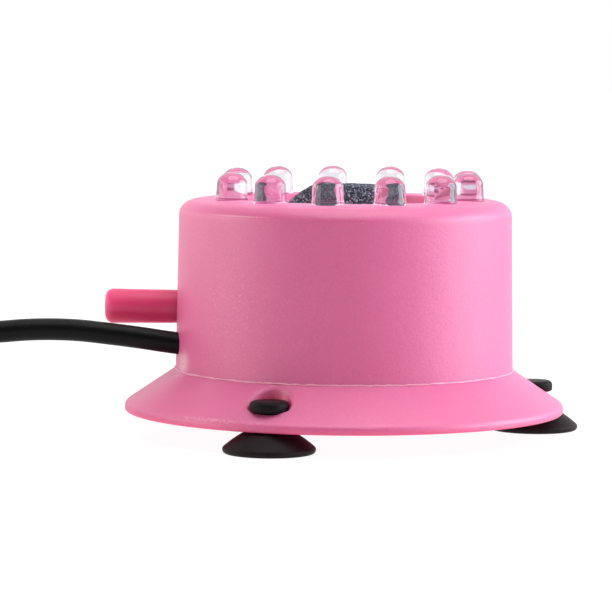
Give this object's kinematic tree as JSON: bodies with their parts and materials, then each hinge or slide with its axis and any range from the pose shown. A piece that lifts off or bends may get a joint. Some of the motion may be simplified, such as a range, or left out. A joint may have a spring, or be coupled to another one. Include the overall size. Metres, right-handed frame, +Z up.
{
  "type": "aquarium led bubble light",
  "caption": "Round submersible aquarium light: clear LEDs in a ring around a porous air stone on a pink drum, with an air nipple, a low-voltage cable and a skirt on suction cups.",
  "frame": {"origin": "on the drum's axis, on the plane that the suction cups' rims stand on", "axes": "+Z up along the drum's axis; the air nipple points along -X; the picture was taken from the -Y side"},
  "size_m": [0.1589, 0.0822, 0.0415],
  "materials": {
    "pink_housing": "satin",
    "pink_nipple": "satin",
    "air_stone": "matte",
    "led_epoxy": "gloss",
    "chamber_plastic": "satin",
    "board_laminate": "satin",
    "resistor_body": "satin",
    "red_wire": "satin",
    "black_wire": "satin",
    "potting_resin": "gloss",
    "black_rubber": "satin",
    "black_cable": "satin",
    "plug_nickel": "polished"
  },
  "bodies": {
    "root": {"upper_housing": "pink_housing", "base_skirt": "pink_housing", "air_stone": "air_stone", "air_nipple": "pink_nipple", "led_01": "led_epoxy", "led_02": "led_epoxy", "led_03": "led_epoxy", "led_04": "led_epoxy", "led_05": "led_epoxy", "led_06": "led_epoxy", "led_07": "led_epoxy", "led_08": "led_epoxy", "led_09": "led_epoxy", "led_10": "led_epoxy", "led_11": "led_epoxy", "led_12": "led_epoxy", "air_chamber": "chamber_plastic", "led_board": "board_laminate", "resistor_1": "resistor_body", "resistor_2": "resistor_body", "resistor_3": "resistor_body", "resistor_4": "resistor_body", "supply_wire_positive": "red_wire", "supply_wire_negative": "black_wire", "cable_stop": "black_rubber", "potting_resin": "potting_resin", "cable_lead": "black_cable", "cable_coil": "black_cable", "cable_tail": "black_cable", "coil_tie": "black_rubber", "plug_body": "black_cable", "plug_sleeve": "plug_nickel", "plug_insulator": "black_wire"},
    "suction_cup_1": {"suction_cup_1": "black_rubber"},
    "suction_cup_2": {"suction_cup_2": "black_rubber"},
    "suction_cup_3": {"suction_cup_3": "black_rubber"}
  },
  "joints": [
    {"name": "suction_cup_1_swivel", "type": "hinge", "parent": "root", "child": "suction_cup_1", "pos_m": [-0.01079, -0.02885, 0], "axis": [0, 0, 1], "continuous": true},
    {"name": "suction_cup_2_swivel", "type": "hinge", "parent": "root", "child": "suction_cup_2", "pos_m": [0.03038, 0.00508, 0], "axis": [0, 0, 1], "continuous": true},
    {"name": "suction_cup_3_swivel", "type": "hinge", "parent": "root", "child": "suction_cup_3", "pos_m": [-0.01959, 0.02377, 0], "axis": [0, 0, 1], "continuous": true}
  ]
}
